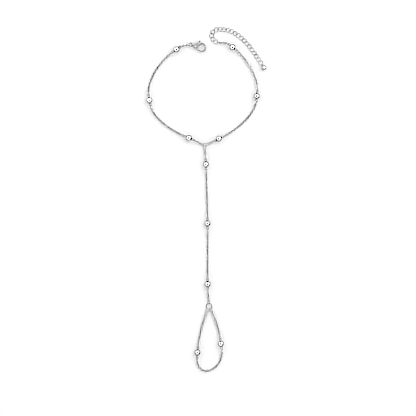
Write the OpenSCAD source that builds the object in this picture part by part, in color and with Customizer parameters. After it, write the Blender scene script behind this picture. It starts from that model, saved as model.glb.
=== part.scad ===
// Hand chain bracelet of silver-toned metal, laid open on a flat surface and seen from above.
// A wrist chain with a lobster clasp and an extender carries a hand chain that ends in a finger loop.
// The origin is under the middle of the whole piece, +Y points from the finger loop to the clasp.

/* [Fine chain] */
// Outer diameter of a fine round link
link_outer_d = 1.63; // [1.62:0.01:1.65]
// Diameter of the wire of a fine link
link_wire_d = 0.29; // [0.28:0.01:0.3]
// Slack between two linked wires
link_gap = 0.112; // [0.11:0.001:0.115]

/* [Balls] */
// Diameter of a polished ball between two chains
ball_d = 3.1; // [3:0.1:3.3]
// Diameter of the ball at the free end of the extender
end_ball_d = 2.4; // [2.2:0.1:2.6]

/* [Extender] */
// Outer length of a twisted link
twist_link_l = 2.82; // [2.8:0.01:2.88]
// Outer width of a twisted link
twist_link_w = 2.4; // [2.3:0.05:2.5]
// Diameter of the wire of a twisted link
twist_wire_d = 0.28; // [0.26:0.01:0.28]
// Twist of each end of a link out of its own plane
twist_angle = 45; // [40:1:50]

/* [Rings] */
// Outer diameter of the ring that joins the hand chain to the wrist chain
junction_outer_d = 1.9; // [1.85:0.05:2]
// Outer diameter of the ring at the root of the finger
finger_ring_outer_d = 3.2; // [3.1:0.1:3.4]
// Diameter of the wire of the finger ring
finger_ring_wire_d = 0.36; // [0.34:0.01:0.38]
// Outer diameter of the jump ring on the clasp
clasp_ring_outer_d = 2.05; // [2:0.05:2.1]
// Diameter of the wire of the jump ring on the clasp
clasp_ring_wire_d = 0.35; // [0.3:0.01:0.35]

/* [Clasp] */
// Thickness of the clasp body
clasp_t = 1.7; // [1.6:0.1:1.8]
// Thickness of the lever between the two cheeks
lever_t = 0.6; // [0.55:0.05:0.65]
// Radius of the hook, to the middle of its wire
hook_r = 1.75; // [1.7:0.05:1.8]
// Diameter of the wire of the hook
hook_wire_d = 0.66; // [0.6:0.02:0.7]
// Diameter of the rivet that carries the lever
rivet_d = 0.5; // [0.4:0.05:0.5]

/* [Hidden] */

link_wire_r = link_wire_d / 2;
link_r = link_outer_d / 2 - link_wire_r;
link_bore_r = link_r - link_wire_r;
link_pitch = 2 * link_bore_r - link_gap;
ball_r = ball_d / 2;
ring_height = link_r + link_wire_r;
// Length over which a chain comes down from the middle of a ball to the surface
descent_l = 4.2;
// Share of the distance between two ends that shapes the bend of a chain
handle_share = 0.3;
path_steps = 72;
// Facets of a drawn ring, of a rivet, of a wire and of a ball
ring_facets = 48;
rivet_facets = 48;
wire_facets = 24;
ball_facets = 64;

// Balls in the order in which the chain meets them, with the roll of the first and of the second eye
// Columns: x, y, heading of the chain through the ball, roll in, roll out
WRIST_BALLS = [
    [-14.8, 74.8, 214, 45, 45],
    [-28.3, 49.4, 280, 135, 45],
    [-8.6, 30.6, 337, 135, 45],
    [6.4, 30.2, 27, 45, 135],
    [25.3, 51.5, 84, 135, 45],
    [13.2, 75.9, 141, 135, 45]
];
HAND_BALLS = [
    [-0.1, 17.4, 272, 45, 45],
    [0.7, -12.1, 271, 135, 45],
    [0.8, -42.4, 271, 45, 135]
];
FINGER_BALLS = [
    [-4.3, -76.5, 265, 45, 45],
    [7.4, -72.2, 98, 135, 45]
];

// Headings of the chains where they leave or meet a ring
wrist_from_clasp_ring = 200;
left_to_junction = 338;
right_from_junction = 22;
right_to_extender = 158;
hand_from_junction = 270;
hand_to_finger_ring = 273;
finger_from_ring = 246;
finger_to_ring = 118;

function direction(heading) = [cos(heading), sin(heading)];
function lifted(point, z) = [point[0], point[1], z];

// An end of a chain: the middle of the ring or eye that holds it, its heading and the roll of that ring
// Columns: x, y, z, heading, roll
function chain_end(point, z, heading, roll) = [point[0], point[1], z, heading, roll];
function ball_way_in(ball) =
    chain_end([ball[0], ball[1]] - (ball_r + link_r) * direction(ball[2]), ball_r, ball[2], ball[3]);
function ball_way_out(ball) =
    chain_end([ball[0], ball[1]] + (ball_r + link_r) * direction(ball[2]), ball_r, ball[2], ball[4]);
// A larger ring holds a link as an eye of the link's own size would, drawn towards the ring's inner edge
function ring_way_in(centre, bore_r, z, heading, roll) =
    chain_end(centre - (bore_r - link_bore_r) * direction(heading), z, heading, roll);
function ring_way_out(centre, bore_r, z, heading, roll) =
    chain_end(centre + (bore_r - link_bore_r) * direction(heading), z, heading, roll);

// Height at which a link of this roll and its crossed neighbour lie on the surface
function rest_height(roll) = link_wire_r + link_r * max(abs(sin(roll)), abs(cos(roll)));
function eased(t) = t <= 0 ? 0 : t >= 1 ? 1 : t * t * (3 - 2 * t);

function plan_point(a, b, t, share = handle_share) =
    let (
        p0 = [a[0], a[1]],
        p3 = [b[0], b[1]],
        handle = share * norm(p3 - p0),
        p1 = p0 + handle * direction(a[3]),
        p2 = p3 - handle * direction(b[3])
    )
    pow(1 - t, 3) * p0 + 3 * pow(1 - t, 2) * t * p1 + 3 * (1 - t) * t * t * p2 + t * t * t * p3;

function running_lengths(points) =
    let (
        last = len(points) - 1,
        steps = [for (i = [0:last - 1]) norm(points[i + 1] - points[i])]
    )
    [for (i = 0, s = 0; i <= last; s = s + (i < last ? steps[i] : 0), i = i + 1) s];
function at_length(points, lengths, s) =
    let (
        k = max([for (i = [0:len(points) - 2]) if (i == 0 || lengths[i] <= s) i]),
        share = (s - lengths[k]) / (lengths[k + 1] - lengths[k])
    )
    points[k] + share * (points[k + 1] - points[k]);

// Twist along a chain, so that each link is crossed with the next and the last one with the ring it meets
// Between two balls there is none: every link leans by 45 degrees, as a fine chain does on a flat surface
function half_turn(angle) = angle - 180 * round(angle / 180);
function chain_twist(a, b, pitches) = half_turn(b[4] - a[4] - 90 * pitches);

// The middle line of a chain: down from one end to the surface, along it and up to the other end
function chain_line(a, b, twist, share = handle_share) =
    let (
        plan = [for (i = [0:path_steps]) plan_point(a, b, i / path_steps, share)],
        lengths = running_lengths(plan),
        whole = lengths[path_steps]
    )
    [for (i = [0:path_steps])
        let (
            lying = rest_height(a[4] + twist * lengths[i] / whole),
            near_a = 1 - eased(lengths[i] / descent_l),
            near_b = 1 - eased((whole - lengths[i]) / descent_l)
        )
        lifted(plan[i], max(lying, lying + near_a * (a[2] - lying) + near_b * (b[2] - lying)))
    ];
function line_length(line) = running_lengths(line)[len(line) - 1];
function pitch_count(a, b) = ceil(line_length(chain_line(a, b, 0)) / link_pitch);

module wire_ring(r, wire_r) {
    rotate_extrude($fn = ring_facets) translate([r, 0]) circle(wire_r, $fn = wire_facets);
}

// Places a child whose own X axis follows the chain
module along_chain(point, ahead, roll) {
    translate(point)
        rotate([0, 0, atan2(ahead[1], ahead[0])])
            rotate([0, -atan2(ahead[2], norm([ahead[0], ahead[1]])), 0])
                rotate([roll, 0, 0])
                    children();
}

// The loose links between two ends, each crossed with its neighbours
module fine_links(a, b) {
    pitches = pitch_count(a, b);
    twist = chain_twist(a, b, pitches);
    line = chain_line(a, b, twist);
    lengths = running_lengths(line);
    step = lengths[path_steps] / pitches;
    places = [for (i = [0:pitches]) at_length(line, lengths, i * step)];
    for (i = [1:pitches - 1])
        along_chain(places[i], places[i + 1] - places[i - 1], a[4] + twist * i / pitches + 90 * i)
            wire_ring(link_r, link_wire_r);
}

module ball_eye(roll) {
    translate([ball_r + link_r, 0, 0]) rotate([roll, 0, 0]) wire_ring(link_r, link_wire_r);
}

// A ball with an eye soldered on at each end
module station_ball(ball) {
    color("silver")
        translate([ball[0], ball[1], ball_r])
            rotate([0, 0, ball[2]])
                union() {
                    rotate([0, 0, 90]) sphere(ball_r, $fn = ball_facets);
                    ball_eye(ball[4]);
                    rotate([0, 0, 180]) ball_eye(-ball[3]);
                }
}

// Clasp: a hook and two cheeks in one casting, a lever on a rivet between the cheeks
// Places are measured from the rivet
clasp_at = [-5.2, 76.3];
rivet_gap_body = 0.02;
rivet_gap_lever = 0.04;
rivet_head_r = 0.42;
rivet_head_t = 0.11;
clasp_height = clasp_t / 2 + rivet_gap_body + rivet_head_t;
body_rear = [-0.1, 0.35];
body_rear_r = 1.1;
body_front = [1.8, 1.4];
body_front_r = 0.75;
hook_middle = [3.15, -0.7];
hook_root = [0.35, -0.65];
hook_start_angle = -122;
hook_tip_angle = 16;
hook_bead_r = hook_wire_d / 2 + 0.02;
gate_middle = [2.85, -0.5];
gate_r = 2.05;
gate_w = 0.72;
gate_root_angle = 105;
gate_tip_angle = 32;
lever_boss_r = 0.45;
tab_tip = [1.95, 2.62];
tab_r = 0.28;
slot_gap = 0.08;
eye_r = 0.5;
eye_wire_r = 0.19;
eye_roll = 105;
clasp_ring_roll = 15;
clasp_ring_wire_r = clasp_ring_wire_d / 2;
clasp_ring_r = clasp_ring_outer_d / 2 - clasp_ring_wire_r;
clasp_ring_bore_r = clasp_ring_r - clasp_ring_wire_r;
// Heading from the middle of the rear of the body through its eye to the jump ring
eye_heading = 164;
eye_at = body_rear + (body_rear_r + eye_r) * direction(eye_heading);
clasp_ring_at = clasp_at + eye_at
    + (eye_r - eye_wire_r + clasp_ring_bore_r - link_gap) * direction(eye_heading);
gate_root = gate_middle + gate_r * direction(gate_root_angle);
gate_tip = gate_middle + gate_r * direction(gate_tip_angle);
lever_heading = atan2(gate_root[1], gate_root[0]);

// Largest turn between two points of an arc
arc_step = 8;
function heading_between(a, b) = atan2(b[1] - a[1], b[0] - a[0]);
function arc(centre, r, from, to) =
    let (steps = ceil(abs(to - from) / arc_step))
    [for (i = [0:steps]) centre + r * direction(from + (to - from) * i / steps)];

// The outline of the cheeks: a wide round end over the rivet and a smaller one at the gate
function cheek_outline(inset) =
    let (
        heading = heading_between(body_rear, body_front),
        lean = acos((body_rear_r - body_front_r) / norm(body_front - body_rear))
    )
    concat(
        arc(body_rear, body_rear_r - inset, heading + lean, heading - lean + 360),
        arc(body_front, body_front_r - inset, heading - lean, heading + lean)
    );

// The cheeks swell from their rim to the middle, as a cushion does
// Columns: distance in from the outline, share of half the thickness
CHEEK_DOME = [
    [0, 0.59],
    [0.1, 0.74],
    [0.3, 0.89],
    [0.62, 1]
];

module domed_cheeks() {
    layers = concat(
        [for (i = [len(CHEEK_DOME) - 1:-1:0]) [CHEEK_DOME[i][0], -CHEEK_DOME[i][1]]],
        CHEEK_DOME
    );
    rings = [
        for (layer = layers)
            [for (point = cheek_outline(layer[0])) lifted(point, layer[1] * clasp_t / 2)]
    ];
    count = len(rings[0]);
    top = len(rings) - 1;
    faces = concat(
        [[for (j = [0:count - 1]) j]],
        [
            for (i = [0:top - 1])
                for (j = [0:count - 1])
                    let (here = i * count, k = (j + 1) % count)
                    [here + j, here + count + j, here + count + k, here + k]
        ],
        [[for (j = [count - 1:-1:0]) top * count + j]]
    );
    polyhedron([for (ring = rings) each ring], faces);
}

// The outline of the lever: boss, upper edge, thumb tab, outer edge of the gate, its tip and its inner edge
function lever_outline() =
    let (
        upper = lever_boss_r * direction(lever_heading + 90),
        outer_r = gate_r + gate_w / 2,
        tab_left = tab_tip[0] - tab_r,
        tab_right = tab_tip[0] + tab_r
    )
    concat(
        arc([0, 0], lever_boss_r, lever_heading + 270, lever_heading + 90),
        [[tab_left, upper[1] + (tab_left - upper[0]) * tan(lever_heading)]],
        arc(tab_tip, tab_r, 180, 0),
        arc(gate_middle, outer_r, acos((tab_right - gate_middle[0]) / outer_r), gate_tip_angle),
        arc(gate_tip, gate_w / 2, gate_tip_angle, gate_tip_angle - 180),
        arc(gate_middle, gate_r - gate_w / 2, gate_tip_angle, gate_root_angle)
    );

// The room that the lever sweeps between the cheeks, open along the outer edge
function lever_room_outline() =
    let (r = lever_boss_r + slot_gap, reach = 5, turns = [105, 70, 35])
    concat(
        arc([0, 0], r, lever_heading + 270, lever_heading + turns[0]),
        [for (turn = turns) reach * direction(lever_heading + turn)],
        [r * direction(lever_heading - 90) + reach * direction(lever_heading)]
    );

module bar_between(a, b, r) {
    translate(lifted(a, 0))
        rotate([0, 0, heading_between(a, b)])
            rotate([0, 90, 0])
                cylinder(r = r, h = norm(b - a), $fn = wire_facets);
}

module rivet_hole(r) {
    cylinder(r = r, h = 2 * clasp_t, center = true, $fn = rivet_facets);
}

// A bead that rounds a bend or an end of the hook's wire, which runs at this heading
module hook_bead(point, heading) {
    translate(lifted(point, 0)) rotate([0, 0, heading + 90]) sphere(hook_bead_r, $fn = wire_facets);
}

module clasp_body() {
    hook_start = hook_middle + hook_r * direction(hook_start_angle);
    hook_tip = hook_middle + hook_r * direction(hook_tip_angle);
    color("silver")
        translate(lifted(clasp_at, clasp_height))
            difference() {
                union() {
                    domed_cheeks();
                    translate(lifted(eye_at, 0)) rotate([0, 0, eye_heading]) rotate([eye_roll, 0, 0])
                        wire_ring(eye_r, eye_wire_r);
                    hook_bead(hook_root, heading_between(hook_root, hook_start));
                    bar_between(hook_root, hook_start, hook_wire_d / 2);
                    hook_bead(hook_start, hook_start_angle + 90);
                    translate(lifted(hook_middle, 0)) rotate([0, 0, hook_start_angle])
                        rotate_extrude(angle = hook_tip_angle - hook_start_angle, $fn = ring_facets)
                            translate([hook_r, 0]) circle(hook_wire_d / 2, $fn = wire_facets);
                    hook_bead(hook_tip, hook_tip_angle + 90);
                }
                linear_extrude(height = lever_t + 2 * slot_gap, center = true) polygon(lever_room_outline());
                rivet_hole(rivet_d / 2 + rivet_gap_body);
            }
}

module clasp_lever() {
    color("silver")
        translate(lifted(clasp_at, clasp_height))
            difference() {
                linear_extrude(height = lever_t, center = true) polygon(lever_outline());
                rivet_hole(rivet_d / 2 + rivet_gap_lever);
            }
}

module clasp_rivet() {
    head_at = clasp_t / 2 + rivet_gap_body;
    color("gray")
        translate(lifted(clasp_at, clasp_height)) {
            cylinder(r = rivet_d / 2, h = 2 * head_at, center = true, $fn = rivet_facets);
            for (side = [-1, 1])
                translate([0, 0, side * (head_at + rivet_head_t / 2)])
                    cylinder(r = rivet_head_r, h = rivet_head_t, center = true, $fn = rivet_facets);
        }
}

module clasp_ring() {
    color("silver")
        translate(lifted(clasp_ring_at, clasp_height))
            rotate([0, 0, eye_heading])
                rotate([clasp_ring_roll, 0, 0])
                    wire_ring(clasp_ring_r, clasp_ring_wire_r);
}

// Ring where the hand chain leaves the wrist chain
junction_at = [-0.7, 27.0];
junction_bore_r = junction_outer_d / 2 - link_wire_d;
function junction_way_in(heading) = ring_way_in(junction_at, junction_bore_r, ring_height, heading, 0);
function junction_way_out(heading) = ring_way_out(junction_at, junction_bore_r, ring_height, heading, 0);

module junction_ring() {
    color("silver") translate(lifted(junction_at, ring_height))
        wire_ring(junction_outer_d / 2 - link_wire_r, link_wire_r);
}

// Ring at the root of the finger, which closes the finger loop
finger_ring_at = [1.5, -53.5];
finger_ring_bore_r = finger_ring_outer_d / 2 - finger_ring_wire_d;
function finger_ring_way_in(heading) =
    ring_way_in(finger_ring_at, finger_ring_bore_r, ring_height, heading, 0);
function finger_ring_way_out(heading) =
    ring_way_out(finger_ring_at, finger_ring_bore_r, ring_height, heading, 0);

module finger_ring() {
    color("silver") translate(lifted(finger_ring_at, ring_height))
        wire_ring((finger_ring_outer_d - finger_ring_wire_d) / 2, finger_ring_wire_d / 2);
}

// Extender: twisted links that all lie face up, round a bend to a ball at the free end
twist_wire_r = twist_wire_d / 2;
twist_half_l = twist_link_l / 2 - twist_wire_r;
twist_half_w = twist_link_w / 2 - twist_wire_r;
twist_bore_half_l = twist_half_l - twist_wire_r;
twist_gap = 0.18;
twist_pitch = 2 * twist_bore_half_l - twist_gap;
twist_height = 0.56;
twist_link_turns = 16;
twist_wire_sides = 6;
end_eye_r = 0.48;
end_eye_wire_r = 0.13;
// Columns: x, y, heading, share of the distance to the next point that shapes the bend
EXTENDER_ROUTE = [
    [4.9, 78.7, 150, 0.6],
    [6, 84.9, 5, 0.36],
    [27.3, 68.2, -58, 0]
];

// Length over which the extender rises to the middle of the ball at its end
extender_rise_l = 6;

function route_stretch(a, b, from) = [
    for (i = [from:path_steps]) plan_point([a[0], a[1], 0, a[2]], [b[0], b[1], 0, b[2]], i / path_steps, a[3])
];
extender_plan = concat(
    route_stretch(EXTENDER_ROUTE[0], EXTENDER_ROUTE[1], 0),
    route_stretch(EXTENDER_ROUTE[1], EXTENDER_ROUTE[2], 1)
);
extender_line =
    let (lengths = running_lengths(extender_plan), whole = lengths[len(lengths) - 1])
    [for (i = [0:len(lengths) - 1])
        let (near_end = 1 - eased((whole - lengths[i]) / extender_rise_l))
        lifted(extender_plan[i], twist_height + near_end * (end_ball_d / 2 - twist_height))
    ];

// The middle of the wire of a twisted link, once round
function twist_point(turn) =
    let (lean = twist_angle * cos(turn))
    [twist_half_l * cos(turn), twist_half_w * sin(turn) * cos(lean), twist_half_w * sin(turn) * sin(lean)];
function unit(v) = v / norm(v);

module twisted_link() {
    step = 360 / twist_link_turns;
    points = [
        for (i = [0:twist_link_turns - 1])
            let (
                middle = twist_point(i * step),
                ahead = unit(twist_point((i + 1) * step) - twist_point((i - 1) * step)),
                outward = unit(middle - ahead * (middle * ahead)),
                upward = cross(ahead, outward)
            )
            for (j = [0:twist_wire_sides - 1])
                let (turn = 360 * j / twist_wire_sides)
                middle + twist_wire_r * (cos(turn) * outward + sin(turn) * upward)
    ];
    faces = [
        for (i = [0:twist_link_turns - 1])
            for (j = [0:twist_wire_sides - 1])
                let (
                    here = i * twist_wire_sides,
                    next = ((i + 1) % twist_link_turns) * twist_wire_sides,
                    k = (j + 1) % twist_wire_sides
                )
                each [[here + j, here + k, next + k], [here + j, next + k, next + j]]
    ];
    polyhedron(points, faces);
}

module extender_chain() {
    lengths = running_lengths(extender_line);
    whole = lengths[len(lengths) - 1];
    pitches = ceil(whole / twist_pitch);
    reach = whole / pitches / 2;
    color("silver")
        for (i = [0:pitches]) {
            s = i * whole / pitches;
            before = at_length(extender_line, lengths, max(0, s - reach));
            after = at_length(extender_line, lengths, min(whole, s + reach));
            along_chain(at_length(extender_line, lengths, s), after - before, 0)
                twisted_link();
        }
}

module extender_ball() {
    last = EXTENDER_ROUTE[2];
    eye = [last[0], last[1]]
        + (twist_bore_half_l + end_eye_r - end_eye_wire_r - twist_gap) * direction(last[2]);
    color("silver")
        translate(lifted(eye + (end_ball_d / 2 + end_eye_r) * direction(last[2]), end_ball_d / 2))
            rotate([0, 0, last[2]])
                union() {
                    sphere(end_ball_d / 2, $fn = ball_facets);
                    translate([-end_ball_d / 2 - end_eye_r, 0, 0]) rotate([-twist_angle, 0, 0])
                        wire_ring(end_eye_r, end_eye_wire_r);
                }
}

// The fine chains, from the clasp round the wrist, down the hand and round the finger
clasp_way_out = ring_way_out(
    clasp_ring_at, clasp_ring_bore_r, clasp_height, wrist_from_clasp_ring, clasp_ring_roll
);
extender_way_in = chain_end(
    [EXTENDER_ROUTE[0][0], EXTENDER_ROUTE[0][1]]
        - (twist_bore_half_l - link_bore_r - twist_gap / 2) * direction(right_to_extender),
    rest_height(twist_angle), right_to_extender, -twist_angle
);

module wrist_chain_left() {
    color("silver") {
        fine_links(clasp_way_out, ball_way_in(WRIST_BALLS[0]));
        for (i = [0:1]) fine_links(ball_way_out(WRIST_BALLS[i]), ball_way_in(WRIST_BALLS[i + 1]));
        fine_links(ball_way_out(WRIST_BALLS[2]), junction_way_in(left_to_junction));
    }
}

module wrist_chain_right() {
    color("silver") {
        fine_links(junction_way_out(right_from_junction), ball_way_in(WRIST_BALLS[3]));
        for (i = [3:4]) fine_links(ball_way_out(WRIST_BALLS[i]), ball_way_in(WRIST_BALLS[i + 1]));
        fine_links(ball_way_out(WRIST_BALLS[5]), extender_way_in);
    }
}

module hand_chain() {
    color("silver") {
        fine_links(junction_way_out(hand_from_junction), ball_way_in(HAND_BALLS[0]));
        for (i = [0:1]) fine_links(ball_way_out(HAND_BALLS[i]), ball_way_in(HAND_BALLS[i + 1]));
        fine_links(ball_way_out(HAND_BALLS[2]), finger_ring_way_in(hand_to_finger_ring));
    }
}

// Envelope of the finger chain: one tube for each stretch, a little short of the eyes and of the ring
// A tube rests on the surface at its own radius, which is the height of links that lie flat or stand
tube_sides = 8;
tube_rings = 12;
tube_end_gap = 0.2;
// The chain under the finger swings out in a deep bow
finger_bow_share = 0.93;

module chain_envelope(a, b, clear_a, clear_b, share = handle_share) {
    start = [a[0], a[1], a[2], a[3], 0];
    line = chain_line(start, b, 0, share);
    lengths = running_lengths(line);
    whole = lengths[path_steps];
    stops = [for (i = [0:tube_rings]) clear_a + (whole - clear_a - clear_b) * i / tube_rings];
    middles = [for (s = stops) at_length(line, lengths, s)];
    points = [
        for (i = [0:tube_rings])
            let (
                ahead = unit(middles[min(i + 1, tube_rings)] - middles[max(i - 1, 0)]),
                aside = unit(cross([0, 0, 1], ahead)),
                upward = cross(ahead, aside)
            )
            for (j = [0:tube_sides - 1])
                let (turn = 360 * (j + 0.5) / tube_sides)
                middles[i] + link_outer_d / 2 * (cos(turn) * aside + sin(turn) * upward)
    ];
    faces = concat(
        [[for (j = [0:tube_sides - 1]) j]],
        [
            for (i = [0:tube_rings - 1])
                for (j = [0:tube_sides - 1])
                    let (here = i * tube_sides, k = (j + 1) % tube_sides)
                    [here + j, here + tube_sides + j, here + tube_sides + k, here + k]
        ],
        [[for (j = [tube_sides - 1:-1:0]) tube_rings * tube_sides + j]]
    );
    polyhedron(points, faces);
}

module finger_chain() {
    at_eye = link_r + link_wire_r + tube_end_gap;
    at_ring = finger_ring_outer_d / 2 - finger_ring_bore_r + link_bore_r + tube_end_gap;
    left = FINGER_BALLS[0];
    right = FINGER_BALLS[1];
    color("silver") {
        chain_envelope(finger_ring_way_out(finger_from_ring), ball_way_in(left), at_ring, at_eye);
        chain_envelope(ball_way_out(left), ball_way_in(right), at_eye, at_eye, finger_bow_share);
        chain_envelope(ball_way_out(right), finger_ring_way_in(finger_to_ring), at_eye, at_ring);
    }
}

clasp_body();
clasp_lever();
clasp_rivet();
clasp_ring();
junction_ring();
finger_ring();
for (i = [1:6]) station_ball(WRIST_BALLS[i - 1]);
for (i = [1:3]) station_ball(HAND_BALLS[i - 1]);
for (i = [1:2]) station_ball(FINGER_BALLS[i - 1]);
extender_ball();
wrist_chain_left();
wrist_chain_right();
hand_chain();
finger_chain();
extender_chain();
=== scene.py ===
import math

import bpy
from mathutils import Matrix, Vector


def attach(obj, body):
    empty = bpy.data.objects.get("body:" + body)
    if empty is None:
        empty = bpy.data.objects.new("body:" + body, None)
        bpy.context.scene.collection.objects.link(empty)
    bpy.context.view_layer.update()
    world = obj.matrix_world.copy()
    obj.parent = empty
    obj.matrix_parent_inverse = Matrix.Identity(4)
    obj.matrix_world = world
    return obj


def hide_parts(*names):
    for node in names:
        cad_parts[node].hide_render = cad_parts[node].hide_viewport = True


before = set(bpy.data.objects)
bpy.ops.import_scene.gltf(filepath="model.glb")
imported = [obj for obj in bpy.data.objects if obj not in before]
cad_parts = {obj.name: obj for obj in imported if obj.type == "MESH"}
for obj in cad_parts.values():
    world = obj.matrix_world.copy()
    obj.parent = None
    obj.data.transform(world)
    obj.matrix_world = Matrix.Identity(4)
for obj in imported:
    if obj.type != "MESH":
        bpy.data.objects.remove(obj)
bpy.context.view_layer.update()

# Fine chain: plain round links of silver-toned wire, each closed, soldered and tumbled bright.
# Every link is loose and crossed with its neighbours. The wire is polished but a little uneven, with
# a fine grain and a greyer tone where the plating is thin, which differs from link to link.

# Lengths on the bracelet are in millimetres and angles in degrees. MM makes metres of the lengths.
MM = 0.001
LINK_R = 0.67
LINK_WIRE_R = 0.145
LINK_GAP = 0.112
LINK_BORE_R = LINK_R - LINK_WIRE_R
LINK_PITCH = 2 * LINK_BORE_R - LINK_GAP
BALL_R = 1.55
# Height of the junction ring and the finger ring, which lie flat in links that stand upright
RING_HEIGHT = LINK_R + LINK_WIRE_R
# Length over which a chain comes down to the surface from each of its ends
DESCENT = 4.2
# Share of the distance between two ends that shapes the bend of a chain
HANDLE_SHARE = 0.3
PATH_STEPS = 72
# Step from one link's own tone to the next, chosen so that neighbours never match
TONE_STEP = 0.618

# How fine the cloudy patches and the grain are, and how far the grain shows
CLOUD_SCALE = 260.0
CLOUD_EDGES = (0.42, 0.66)
GRAIN_SCALE = 5200.0
GRAIN_DETAIL = 4.0
GRAIN_IN_ROUGHNESS = 0.35
GRAIN_IN_RELIEF = 0.6


class Field:
    """A value that changes over a surface, with its material's nodes behind it."""

    # Sockets of a mix node that mixes colours: its two inputs and its output
    FIRST_COLOUR = 6
    SECOND_COLOUR = 7
    MIXED_COLOUR = 2

    def __init__(self, tree, socket):
        self.tree = tree
        self.socket = socket

    def node(self, kind, settings=None, inputs=None, output=0):
        made = self.tree.nodes.new(kind)
        for name, value in (settings or {}).items():
            setattr(made, name, value)
        for name, value in (inputs or {}).items():
            if isinstance(value, Field):
                self.tree.links.new(value.socket, made.inputs[name])
            else:
                made.inputs[name].default_value = value
        return Field(self.tree, made.outputs[output])

    def maths(self, operation, other):
        return self.node("ShaderNodeMath", {"operation": operation}, {0: self, 1: other})

    def __add__(self, other):
        return self.maths("ADD", other)

    def __mul__(self, other):
        return self.maths("MULTIPLY", other)

    __radd__ = __add__
    __rmul__ = __mul__

    def stepped(self, low, high):
        return self.node(
            "ShaderNodeMapRange",
            {"interpolation_type": "SMOOTHSTEP", "clamp": True},
            {"Value": self, "From Min": low, "From Max": high, "To Min": 0.0, "To Max": 1.0},
        )

    def between(self, first, second):
        return self.node(
            "ShaderNodeMix",
            {"data_type": "RGBA"},
            {0: self, Field.FIRST_COLOUR: (*first, 1), Field.SECOND_COLOUR: (*second, 1)},
            output=Field.MIXED_COLOUR,
        )

    def noise(self, scale, detail=3.0):
        return self.node("ShaderNodeTexNoise", {}, {"Vector": self, "Scale": scale, "Detail": detail})


def polished_metal(name, bright, dull, smooth, rough, grain_depth, link_share=0.0):
    """Silver-toned metal: bright where it is polished, duller in cloudy patches and from link to link."""
    metal = bpy.data.materials.new(name)
    metal.use_nodes = True
    tree = metal.node_tree
    shader = tree.nodes["Principled BSDF"]
    shader.inputs["Metallic"].default_value = 1.0
    place = Field(tree, tree.nodes.new("ShaderNodeTexCoord").outputs["Object"])
    clouds = place.noise(CLOUD_SCALE).stepped(*CLOUD_EDGES)
    grain = place.noise(GRAIN_SCALE, GRAIN_DETAIL)
    if link_share:
        own = place.node("ShaderNodeAttribute", {"attribute_name": "link_tone"}, output="Fac")
        clouds = clouds * (1 - link_share) + own * link_share
    tone = clouds.between(bright, dull)
    roughness = clouds * (rough - smooth) + grain * (GRAIN_IN_ROUGHNESS * smooth) + smooth
    relief = grain.node(
        "ShaderNodeBump",
        {},
        {"Height": grain, "Distance": grain_depth * MM, "Strength": GRAIN_IN_RELIEF},
    )
    tree.links.new(tone.socket, shader.inputs["Base Color"])
    tree.links.new(roughness.socket, shader.inputs["Roughness"])
    tree.links.new(relief.socket, shader.inputs["Normal"])
    return metal


wire_silver = polished_metal(
    "wire_silver",
    bright=(0.7, 0.7, 0.71),
    dull=(0.36, 0.36, 0.365),
    smooth=0.16,
    rough=0.3,
    grain_depth=0.004,
    link_share=0.8,
)


def heading(turn):
    return Vector((math.cos(math.radians(turn)), math.sin(math.radians(turn))))


def chain_end(point, height, turn, roll):
    return {"at": Vector(point), "height": height, "turn": turn, "roll": roll}


def into_ball(ball):
    x, y, turn, roll_in, _ = ball
    return chain_end(Vector((x, y)) - (BALL_R + LINK_R) * heading(turn), BALL_R, turn, roll_in)


def out_of_ball(ball):
    x, y, turn, _, roll_out = ball
    return chain_end(Vector((x, y)) + (BALL_R + LINK_R) * heading(turn), BALL_R, turn, roll_out)


def into_ring(centre, bore_r, height, turn, roll=0.0):
    return chain_end(Vector(centre) - (bore_r - LINK_BORE_R) * heading(turn), height, turn, roll)


def out_of_ring(centre, bore_r, height, turn, roll=0.0):
    return chain_end(Vector(centre) + (bore_r - LINK_BORE_R) * heading(turn), height, turn, roll)


def resting(roll):
    """Height of a chain at rest whose links lean by this roll and by a quarter turn more in turn."""
    lean = math.radians(roll)
    return LINK_WIRE_R + LINK_R * max(abs(math.sin(lean)), abs(math.cos(lean)))


def eased(t):
    t = min(1.0, max(0.0, t))
    return t * t * (3 - 2 * t)


def bend_in_plan(a, b, share):
    """The middle line of a chain between two ends, seen from above."""
    reach = share * (b["at"] - a["at"]).length
    after_a = a["at"] + reach * heading(a["turn"])
    before_b = b["at"] - reach * heading(b["turn"])
    handles = [a["at"], after_a, before_b, b["at"]]
    line = []
    for i in range(PATH_STEPS + 1):
        t = i / PATH_STEPS
        weights = [(1 - t) ** 3, 3 * t * (1 - t) ** 2, 3 * t * t * (1 - t), t ** 3]
        line.append(sum((w * h for w, h in zip(weights, handles)), Vector((0.0, 0.0))))
    return line


def run_along(line):
    """The length of a line up to each of its points."""
    lengths = [0.0]
    for here, ahead in zip(line, line[1:]):
        lengths.append(lengths[-1] + (ahead - here).length)
    return lengths


def at_length(line, lengths, s):
    k = max(i for i in range(len(line) - 1) if i == 0 or lengths[i] <= s)
    return line[k].lerp(line[k + 1], (s - lengths[k]) / (lengths[k + 1] - lengths[k]))


def lie_down(a, b, plan, twist):
    """The middle line in space: down from one end to the surface, along it and up to the other end."""
    lengths = run_along(plan)
    whole = lengths[-1]
    line = []
    for point, s in zip(plan, lengths):
        lying = resting(a["roll"] + twist * s / whole)
        near_a = 1 - eased(s / DESCENT)
        near_b = 1 - eased((whole - s) / DESCENT)
        height = lying + near_a * (a["height"] - lying) + near_b * (b["height"] - lying)
        line.append(Vector((point.x, point.y, max(lying, height))))
    return line


def along(place, ahead, roll):
    """Where a link sits whose own X axis follows the chain."""
    turn = math.atan2(ahead.y, ahead.x)
    rise = math.atan2(ahead.z, math.hypot(ahead.x, ahead.y))
    return (
        Matrix.Translation(place)
        @ Matrix.Rotation(turn, 4, "Z")
        @ Matrix.Rotation(-rise, 4, "Y")
        @ Matrix.Rotation(math.radians(roll), 4, "X")
    )


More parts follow.
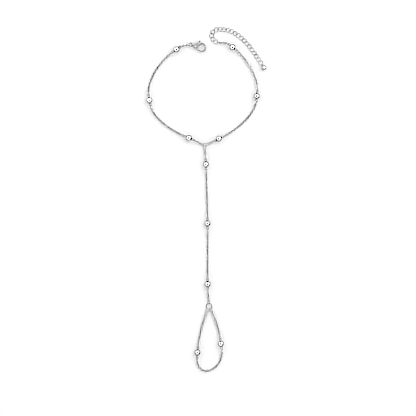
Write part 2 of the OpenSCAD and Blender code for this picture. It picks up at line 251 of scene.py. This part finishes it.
def links_between(a, b, share=HANDLE_SHARE):
    """The places of the loose links between two ends, each crossed with the next."""
    plan = bend_in_plan(a, b, share)
    flat = lie_down(a, b, plan, 0.0)
    pitches = math.ceil(run_along(flat)[-1] / LINK_PITCH)
    turn = b["roll"] - a["roll"] - 90 * pitches
    twist = turn - 180 * math.floor(turn / 180 + 0.5)
    line = lie_down(a, b, plan, twist)
    lengths = run_along(line)
    places = [at_length(line, lengths, i * lengths[-1] / pitches) for i in range(pitches + 1)]
    return [
        along(places[i], places[i + 1] - places[i - 1], a["roll"] + twist * i / pitches + 90 * i)
        for i in range(1, pitches)
    ]


def links_along(runs):
    """The places of the loose links of several runs, each given by its two ends and any bend of its own."""
    return [place for run in runs for place in links_between(*run)]


def deselect():
    bpy.ops.object.select_all(action="DESELECT")


def copies_in_place(model, places, name):
    """One object of separate copies of a modelled piece, each with its own mesh and its own tone."""
    copies = []
    for number, place in enumerate(places):
        made = model.copy()
        made.data = model.data.copy()
        made.data.transform(Matrix.Scale(MM, 4) @ place)
        own = made.data.attributes.new("link_tone", "FLOAT", "POINT")
        own.data.foreach_set("value", [number * TONE_STEP % 1.0] * len(made.data.vertices))
        bpy.context.collection.objects.link(made)
        copies.append(made)
    deselect()
    for made in copies:
        made.select_set(True)
    bpy.context.view_layer.objects.active = copies[0]
    bpy.ops.object.join()
    joined = bpy.context.object
    joined.name = name
    joined.data.name = name
    return joined


# One link: wire bent round and soldered, with the solder seam filed a little thinner at one side.
SEAM_HALF_L = 0.02 * LINK_R
SEAM_SHARE = 0.95
deselect()
bpy.ops.mesh.primitive_torus_add(
    major_radius=LINK_R, minor_radius=LINK_WIRE_R, major_segments=16, minor_segments=6
)
fine_link = bpy.context.object
bpy.ops.object.mode_set(mode="EDIT")
bpy.ops.mesh.select_all(action="DESELECT")
bpy.ops.object.mode_set(mode="OBJECT")
for vertex in fine_link.data.vertices:
    vertex.select = vertex.co.y > 0 and abs(vertex.co.x) < SEAM_HALF_L
bpy.ops.object.mode_set(mode="EDIT")
bpy.ops.transform.resize(value=(1.0, SEAM_SHARE, SEAM_SHARE), center_override=(0.0, LINK_R, 0.0))
bpy.ops.object.mode_set(mode="OBJECT")
bpy.ops.object.shade_smooth()
fine_link.data.materials.append(wire_silver)

# Wrist chain: two runs of fine chain with three balls each, from the clasp's ring round to the
# junction ring and from there round to the extender. It lies open on the surface as a loose oval.
CLASP_RING_AT = (-7.677, 77.332)
CLASP_RING_BORE_R = 0.675
CLASP_RING_HEIGHT = 0.98
CLASP_RING_ROLL = 15
JUNCTION_AT = (-0.7, 27.0)
JUNCTION_BORE_R = 0.66
# Columns: x, y, heading of the chain through the ball, roll of its first eye, roll of its second
WRIST_BALLS = [
    (-14.8, 74.8, 214, 45, 45),
    (-28.3, 49.4, 280, 135, 45),
    (-8.6, 30.6, 337, 135, 45),
    (6.4, 30.2, 27, 45, 135),
    (25.3, 51.5, 84, 135, 45),
    (13.2, 75.9, 141, 135, 45),
]
# Headings of the chain at its ends, and the roll of the extender's first link, in which it hangs
FROM_CLASP_RING = 200
LEFT_TO_JUNCTION = 338
RIGHT_FROM_JUNCTION = 22
TO_EXTENDER = 158
EXTENDER_ROLL = -45
EXTENDER_START = (4.9, 78.7)
EXTENDER_GAP = 0.09
CURB_L = 2.82
CURB_WIRE_R = 0.14
CURB_BORE_HALF_L = CURB_L / 2 - 2 * CURB_WIRE_R

clasp_end = out_of_ring(
    CLASP_RING_AT, CLASP_RING_BORE_R, CLASP_RING_HEIGHT, FROM_CLASP_RING, CLASP_RING_ROLL
)
left_run = [
    (clasp_end, into_ball(WRIST_BALLS[0])),
    (out_of_ball(WRIST_BALLS[0]), into_ball(WRIST_BALLS[1])),
    (out_of_ball(WRIST_BALLS[1]), into_ball(WRIST_BALLS[2])),
    (out_of_ball(WRIST_BALLS[2]), into_ring(JUNCTION_AT, JUNCTION_BORE_R, RING_HEIGHT, LEFT_TO_JUNCTION)),
]
junction_end = out_of_ring(JUNCTION_AT, JUNCTION_BORE_R, RING_HEIGHT, RIGHT_FROM_JUNCTION)
extender_reach = CURB_BORE_HALF_L - LINK_BORE_R - EXTENDER_GAP
extender_eye = Vector(EXTENDER_START) - extender_reach * heading(TO_EXTENDER)
extender_end = chain_end(extender_eye, resting(EXTENDER_ROLL), TO_EXTENDER, EXTENDER_ROLL)
right_run = [
    (junction_end, into_ball(WRIST_BALLS[3])),
    (out_of_ball(WRIST_BALLS[3]), into_ball(WRIST_BALLS[4])),
    (out_of_ball(WRIST_BALLS[4]), into_ball(WRIST_BALLS[5])),
    (out_of_ball(WRIST_BALLS[5]), extender_end),
]
wrist_left = copies_in_place(fine_link, links_along(left_run), "wrist_links_left")
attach(wrist_left, "bracelet")
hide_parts("wrist_chain_left")
wrist_right = copies_in_place(fine_link, links_along(right_run), "wrist_links_right")
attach(wrist_right, "bracelet")
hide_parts("wrist_chain_right")

# Junction ring and hand chain: the same fine chain hangs from a small closed ring in the wrist
# chain and runs straight down the back of the hand through three balls to the finger ring.
FINGER_RING_AT = (1.5, -53.5)
FINGER_RING_BORE_R = 1.24
HAND_FROM_JUNCTION = 270
HAND_TO_FINGER_RING = 273
# Columns as for the balls of the wrist chain
HAND_BALLS = [
    (-0.1, 17.4, 272, 45, 45),
    (0.7, -12.1, 271, 135, 45),
    (0.8, -42.4, 271, 45, 135),
]
hand_start = out_of_ring(JUNCTION_AT, JUNCTION_BORE_R, RING_HEIGHT, HAND_FROM_JUNCTION)
hand_end = into_ring(FINGER_RING_AT, FINGER_RING_BORE_R, RING_HEIGHT, HAND_TO_FINGER_RING)
hand_run = [
    (hand_start, into_ball(HAND_BALLS[0])),
    (out_of_ball(HAND_BALLS[0]), into_ball(HAND_BALLS[1])),
    (out_of_ball(HAND_BALLS[1]), into_ball(HAND_BALLS[2])),
    (out_of_ball(HAND_BALLS[2]), hand_end),
]
hand_links = copies_in_place(fine_link, links_along(hand_run), "hand_links")
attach(hand_links, "bracelet")
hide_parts("hand_chain")

# Finger chain: real loose links in place of the three tubes that hold their room, from the finger
# ring down the left side, round under the finger in a deep bow and up the right side again.
FINGER_FROM_RING = 246
FINGER_TO_RING = 118
FINGER_BOW_SHARE = 0.928
# Columns as for the balls of the wrist chain
FINGER_BALLS = [
    (-4.3, -76.5, 265, 45, 45),
    (7.4, -72.2, 98, 135, 45),
]
finger_start = out_of_ring(FINGER_RING_AT, FINGER_RING_BORE_R, RING_HEIGHT, FINGER_FROM_RING)
finger_end = into_ring(FINGER_RING_AT, FINGER_RING_BORE_R, RING_HEIGHT, FINGER_TO_RING)
finger_run = [
    (finger_start, into_ball(FINGER_BALLS[0])),
    (out_of_ball(FINGER_BALLS[0]), into_ball(FINGER_BALLS[1]), FINGER_BOW_SHARE),
    (out_of_ball(FINGER_BALLS[1]), finger_end),
]
finger_links = copies_in_place(fine_link, links_along(finger_run), "finger_links")
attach(finger_links, "bracelet")
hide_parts("finger_chain")

# Closed rings: slightly heavier wire than the links, cut, closed and soldered, then plated.
# They are greyer than the links. The eyes of the balls get the same darker grey as painted shade, which
# stands in for the shadow that shows through the chain where it lies on the surface.
ring_silver_and_eye_shade = polished_metal(
    "ring_silver_and_eye_shade",
    bright=(0.34, 0.34, 0.35),
    dull=(0.24, 0.24, 0.245),
    smooth=0.2,
    rough=0.34,
    grain_depth=0.004,
)
for node in ("junction_ring", "finger_ring", "clasp_ring"):
    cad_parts[node].data.materials[0] = ring_silver_and_eye_shade

# Balls: hollow silver-toned beads pressed from sheet and polished to a mirror. Each has a dimple at
# both ends, where the wire eye that the chain hangs from is soldered in.
ball_silver = polished_metal(
    "ball_silver",
    bright=(0.6, 0.6, 0.61),
    dull=(0.52, 0.52, 0.53),
    smooth=0.05,
    rough=0.09,
    grain_depth=0.001,
)
# A bead is a hair smaller than the true ball, as the facets of its node are inside it too
BEAD_R = 0.998 * BALL_R
# Farther out along the chain than this, the bead is pressed in to this share of its own length
DIMPLE_FROM = 0.992 * BALL_R
DIMPLE_SHARE = 0.93
deselect()
bpy.ops.mesh.primitive_uv_sphere_add(segments=48, ring_count=32, radius=BEAD_R)
bead = bpy.context.object
bpy.ops.object.mode_set(mode="EDIT")
bpy.ops.mesh.select_all(action="SELECT")
bpy.ops.transform.rotate(value=math.radians(90), orient_axis="Y", center_override=(0.0, 0.0, 0.0))
bpy.ops.mesh.select_all(action="DESELECT")
bpy.ops.object.mode_set(mode="OBJECT")
for vertex in bead.data.vertices:
    vertex.select = abs(vertex.co.x) > DIMPLE_FROM
bpy.ops.object.mode_set(mode="EDIT")
bpy.ops.transform.resize(value=(DIMPLE_SHARE, 1.0, 1.0), center_override=(0.0, 0.0, 0.0))
bpy.ops.object.mode_set(mode="OBJECT")
bpy.ops.object.shade_smooth()
bead.data.materials.append(ball_silver)

ball_rows = [
    ("wrist_ball_%d", WRIST_BALLS),
    ("hand_ball_%d", HAND_BALLS),
    ("finger_ball_%d", FINGER_BALLS),
]
eye_places = []
for label, balls in ball_rows:
    for number, (x, y, turn, roll_in, roll_out) in enumerate(balls, 1):
        middle = Matrix.Translation((x, y, BALL_R)) @ Matrix.Rotation(math.radians(turn), 4, "Z")
        ball = copies_in_place(bead, [middle], (label % number) + "_bead")
        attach(ball, "bracelet")
        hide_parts(label % number)
        for side, roll in ((-1, roll_in), (1, roll_out)):
            eye_places.append(
                middle
                @ Matrix.Translation((side * (BALL_R + LINK_R), 0.0, 0.0))
                @ Matrix.Rotation(math.radians(roll), 4, "X")
            )
ball_eyes = copies_in_place(fine_link, eye_places, "ball_eyes")
# The eyes take the rings' darker grey as painted shade.
ball_eyes.data.materials[0] = ring_silver_and_eye_shade
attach(ball_eyes, "bracelet")
bpy.data.objects.remove(fine_link)

# Extender: larger curb links, each twisted a quarter turn so that they all lie face up, with
# a small ball hung at the free end. Wire of a plain satin finish, greyer than the fine chain.
curb_silver = polished_metal(
    "curb_silver",
    bright=(0.5, 0.5, 0.51),
    dull=(0.4, 0.4, 0.405),
    smooth=0.42,
    rough=0.5,
    grain_depth=0.004,
)
CURB_W = 2.4
CURB_HALF_L = CURB_L / 2 - CURB_WIRE_R
CURB_HALF_W = CURB_W / 2 - CURB_WIRE_R
CURB_GAP = 0.18
CURB_PITCH = 2 * CURB_BORE_HALF_L - CURB_GAP
# Height of the middle of a twisted link, and the length over which the chain rises to the end ball
CURB_HEIGHT = 0.575
END_RISE_L = 6
END_BALL_R = 1.2
# Columns: x, y, heading
EXTENDER_ROUTE = [
    (*EXTENDER_START, 150),
    (6.0, 84.9, 5),
    (27.3, 68.2, -58),
]
# Share of the distance between its ends that shapes each bend of the route
FIRST_BEND_SHARE = 0.6
SECOND_BEND_SHARE = 0.36
route_start, route_bend, route_end = [chain_end((x, y), 0, turn, 0) for x, y, turn in EXTENDER_ROUTE]
curb_plan = bend_in_plan(route_start, route_bend, FIRST_BEND_SHARE)
curb_plan += bend_in_plan(route_bend, route_end, SECOND_BEND_SHARE)[1:]
flat_lengths = run_along(curb_plan)
curb_line = []
for point, s in zip(curb_plan, flat_lengths):
    near_end = 1 - eased((flat_lengths[-1] - s) / END_RISE_L)
    curb_line.append(Vector((point.x, point.y, CURB_HEIGHT + near_end * (END_BALL_R - CURB_HEIGHT))))
lengths = run_along(curb_line)
whole = lengths[-1]
pitches = math.ceil(whole / CURB_PITCH)
half_pitch = whole / pitches / 2
curb_places = []
for i in range(pitches + 1):
    s = i * whole / pitches
    before = at_length(curb_line, lengths, max(0.0, s - half_pitch))
    after = at_length(curb_line, lengths, min(whole, s + half_pitch))
    curb_places.append(along(at_length(curb_line, lengths, s), after - before, 0.0))

deselect()
bpy.ops.curve.primitive_bezier_circle_add(radius=1.0)
bpy.ops.object.mode_set(mode="EDIT")
bpy.ops.curve.select_all(action="SELECT")
bpy.ops.transform.resize(value=(CURB_HALF_L, CURB_HALF_W, 1.0))
bpy.ops.object.mode_set(mode="OBJECT")
curb_link = bpy.context.object
curb_link.data.dimensions = "3D"
curb_link.data.bevel_depth = CURB_WIRE_R
curb_link.data.bevel_resolution = 4
curb_link.data.resolution_u = 10
bpy.ops.object.convert(target="MESH")
twist = curb_link.modifiers.new("quarter_turn", "SIMPLE_DEFORM")
twist.deform_method = "TWIST"
twist.deform_axis = "X"
# The whole link turns by so much more that its wire's middle line makes the quarter turn
twist.angle = math.radians(90) * CURB_L / (2 * CURB_HALF_L)
bpy.ops.object.modifier_apply(modifier=twist.name)
bpy.ops.object.shade_smooth()
curb_link.data.materials.append(curb_silver)
extender_links = copies_in_place(curb_link, curb_places, "extender_links")
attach(extender_links, "bracelet")
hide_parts("extender_chain")
bpy.data.objects.remove(curb_link)

# The end of the extender: a smaller bead of the same kind, with the one finer eye that it swings on.
# The eye is a closed ring of wire, crossed with the end of the last twisted link.
END_EYE_R = 0.48
END_EYE_WIRE_R = 0.13
END_EYE_ROLL = -45
way_out = heading(route_end["turn"])
turned_out = Matrix.Rotation(math.radians(route_end["turn"]), 4, "Z")
eye_at = route_end["at"] + (CURB_BORE_HALF_L + END_EYE_R - END_EYE_WIRE_R - CURB_GAP) * way_out
end_at = eye_at + (END_BALL_R + END_EYE_R) * way_out
end_place = Matrix.Translation((end_at.x, end_at.y, END_BALL_R)) @ turned_out
end_bead = copies_in_place(bead, [end_place @ Matrix.Scale(END_BALL_R / BALL_R, 4)], "extender_ball_bead")
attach(end_bead, "bracelet")
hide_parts("extender_ball")
bpy.data.objects.remove(bead)
deselect()
bpy.ops.mesh.primitive_torus_add(
    major_radius=END_EYE_R, minor_radius=END_EYE_WIRE_R, major_segments=32, minor_segments=10
)
end_loop = bpy.context.object
bpy.ops.object.shade_smooth()
end_loop.data.materials.append(curb_silver)
loop_place = (
    end_place
    @ Matrix.Translation((-END_BALL_R - END_EYE_R, 0.0, 0.0))
    @ Matrix.Rotation(math.radians(END_EYE_ROLL), 4, "X")
)
end_eye = copies_in_place(end_loop, [loop_place], "extender_ball_eye")
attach(end_eye, "bracelet")
bpy.data.objects.remove(end_loop)

# Lobster clasp: a cast body with a hook and two cheeks, and a sprung lever on a rivet between them.
# Castings come from the mould with soft edges and are barrel polished, which leaves a faint ripple.
cast_silver = polished_metal(
    "cast_silver",
    bright=(0.38, 0.38, 0.39),
    dull=(0.3, 0.3, 0.305),
    smooth=0.32,
    rough=0.42,
    grain_depth=0.006,
)
rivet_grey = polished_metal(
    "rivet_grey",
    bright=(0.55, 0.55, 0.56),
    dull=(0.42, 0.42, 0.425),
    smooth=0.35,
    rough=0.45,
    grain_depth=0.004,
)
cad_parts["clasp_rivet"].data.materials[0] = rivet_grey


def soft_casting(node, body, edge_round, grain_size, passes):
    """The solid of a node as it comes out of a mould: the same shape with its edges rounded over."""
    deselect()
    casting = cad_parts[node].copy()
    casting.data = casting.data.copy()
    casting.name = node + "_casting"
    bpy.context.collection.objects.link(casting)
    casting.select_set(True)
    bpy.context.view_layer.objects.active = casting
    bpy.ops.object.mode_set(mode="EDIT")
    bpy.ops.mesh.select_all(action="SELECT")
    bpy.ops.mesh.remove_doubles(threshold=0.001 * MM)
    bpy.ops.mesh.dissolve_limited(angle_limit=math.radians(1))
    bpy.ops.object.mode_set(mode="OBJECT")
    if edge_round:
        rounded = casting.modifiers.new("rounded", "BEVEL")
        rounded.width = edge_round * MM
        rounded.segments = 3
        rounded.limit_method = "ANGLE"
        rounded.angle_limit = math.radians(50)
        rounded.use_clamp_overlap = False
        bpy.ops.object.modifier_apply(modifier=rounded.name)
    skin = casting.modifiers.new("skin", "REMESH")
    skin.mode = "VOXEL"
    skin.voxel_size = grain_size * MM
    bpy.ops.object.modifier_apply(modifier=skin.name)
    softened = casting.modifiers.new("softened", "SMOOTH")
    softened.factor = 0.5
    softened.iterations = passes
    bpy.ops.object.modifier_apply(modifier=softened.name)
    bpy.ops.object.shade_smooth()
    casting.data.materials.clear()
    casting.data.materials.append(cast_silver)
    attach(casting, body)
    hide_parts(node)


soft_casting("clasp_body", "bracelet", edge_round=0.0, grain_size=0.035, passes=8)
soft_casting("clasp_lever", "lever", edge_round=0.2, grain_size=0.03, passes=6)

# The surface it lies on: a seamless white sheet, much larger than the bracelet. It lies a hair under
# the bracelet, so that no two faces share a plane. It and the studio are in metres.
SURFACE_SIZE = 8.0
SURFACE_HEIGHT = -0.00002
PAPER_SHADE = 0.62


def matt(name, shade):
    """An even matt grey with no shine, for what stands round the bracelet."""
    paint = bpy.data.materials.new(name)
    paint.use_nodes = True
    shader = paint.node_tree.nodes["Principled BSDF"]
    shader.inputs["Base Color"].default_value = (shade, shade, shade, 1)
    shader.inputs["Roughness"].default_value = 0.9
    shader.inputs["Specular IOR Level"].default_value = 0.0
    return paint


deselect()
bpy.ops.mesh.primitive_plane_add(size=SURFACE_SIZE, location=(0.0, 0.0, SURFACE_HEIGHT))
surface = bpy.context.object
surface.name = "white_surface"
bpy.ops.object.transform_apply(location=True, rotation=True, scale=True)
surface.data.materials.append(matt("white_paper", PAPER_SHADE))

# Studio: a white light tent with a soft lamp behind it. The camera's hood straight above, two stands
# low at the sides and the tent's opening in front show only as reflections in the polished metal.
world = bpy.data.worlds.new("light_tent")
bpy.context.scene.world = world
world.use_nodes = True
world.node_tree.nodes["Background"].inputs["Color"].default_value = (1.0, 1.0, 1.0, 1)
world.node_tree.nodes["Background"].inputs["Strength"].default_value = 1.7


def away_from_bracelet(azimuth, elevation):
    a, e = math.radians(azimuth), math.radians(elevation)
    return Vector((math.cos(a) * math.cos(e), math.sin(a) * math.cos(e), math.sin(e)))


def matt_board(name, azimuth, elevation, distance, width, depth, shade):
    """A round matt board that faces the bracelet."""
    deselect()
    away = away_from_bracelet(azimuth, elevation)
    bpy.ops.mesh.primitive_circle_add(vertices=48, radius=0.5, fill_type="NGON")
    board = bpy.context.object
    board.name = name
    board.scale = (width, depth, 1.0)
    board.location = away * distance
    board.rotation_euler = away.to_track_quat("Z", "Y").to_euler()
    bpy.ops.object.transform_apply(location=True, rotation=True, scale=True)
    board.data.materials.append(matt(name, shade))


matt_board("camera_hood", azimuth=0, elevation=90, distance=1.3, width=1.3, depth=1.3, shade=0.68)
matt_board("dark_stand", azimuth=325, elevation=9, distance=1.0, width=0.8, depth=0.6, shade=0.2)
matt_board("grey_stand", azimuth=215, elevation=7, distance=1.1, width=0.8, depth=0.5, shade=0.3)
matt_board("tent_opening", azimuth=270, elevation=4, distance=1.3, width=2.0, depth=0.6, shade=0.35)

# The lamp: a soft panel, high up at the upper right of the picture, that faces the bracelet.
LAMP_DISTANCE = 1.3
LAMP_SIZE = 1.1
lamp_away = away_from_bracelet(azimuth=40, elevation=50)
lamp = bpy.data.lights.new("key_panel", "AREA")
lamp.shape = "RECTANGLE"
lamp.size = LAMP_SIZE
lamp.size_y = LAMP_SIZE
lamp.energy = 7.0
key_panel = bpy.data.objects.new("key_panel", lamp)
bpy.context.collection.objects.link(key_panel)
key_panel.location = lamp_away * LAMP_DISTANCE
key_panel.rotation_euler = lamp_away.to_track_quat("Z", "Y").to_euler()

# Camera: straight above the bracelet and wide enough to take in the photograph's whole frame.
# The lens follows from the width of the surface that the frame covers.
FRAME_MIDDLE = (0.00095, -0.00435)
FRAME_WIDTH = 0.208
CAMERA_HEIGHT = 1.2
SENSOR_WIDTH = 36.0
camera = bpy.data.objects.new("camera", bpy.data.cameras.new("camera"))
bpy.context.collection.objects.link(camera)
camera.location = (*FRAME_MIDDLE, CAMERA_HEIGHT)
camera.data.sensor_width = SENSOR_WIDTH
camera.data.lens = SENSOR_WIDTH * CAMERA_HEIGHT / FRAME_WIDTH
camera.data.clip_start = 0.01
camera.data.clip_end = 50.0
bpy.context.scene.camera = camera
bpy.context.scene.view_settings.view_transform = "Standard"

# The picture is sharpened a little, as product photographs are.
bpy.context.scene.use_nodes = True
darkroom = bpy.context.scene.node_tree
darkroom.nodes.clear()
shot = darkroom.nodes.new("CompositorNodeRLayers")
crisp = darkroom.nodes.new("CompositorNodeFilter")
crisp.filter_type = "SHARPEN"
crisp.inputs["Fac"].default_value = 0.22
picture = darkroom.nodes.new("CompositorNodeComposite")
darkroom.links.new(shot.outputs["Image"], crisp.inputs["Image"])
darkroom.links.new(crisp.outputs["Image"], picture.inputs["Image"])
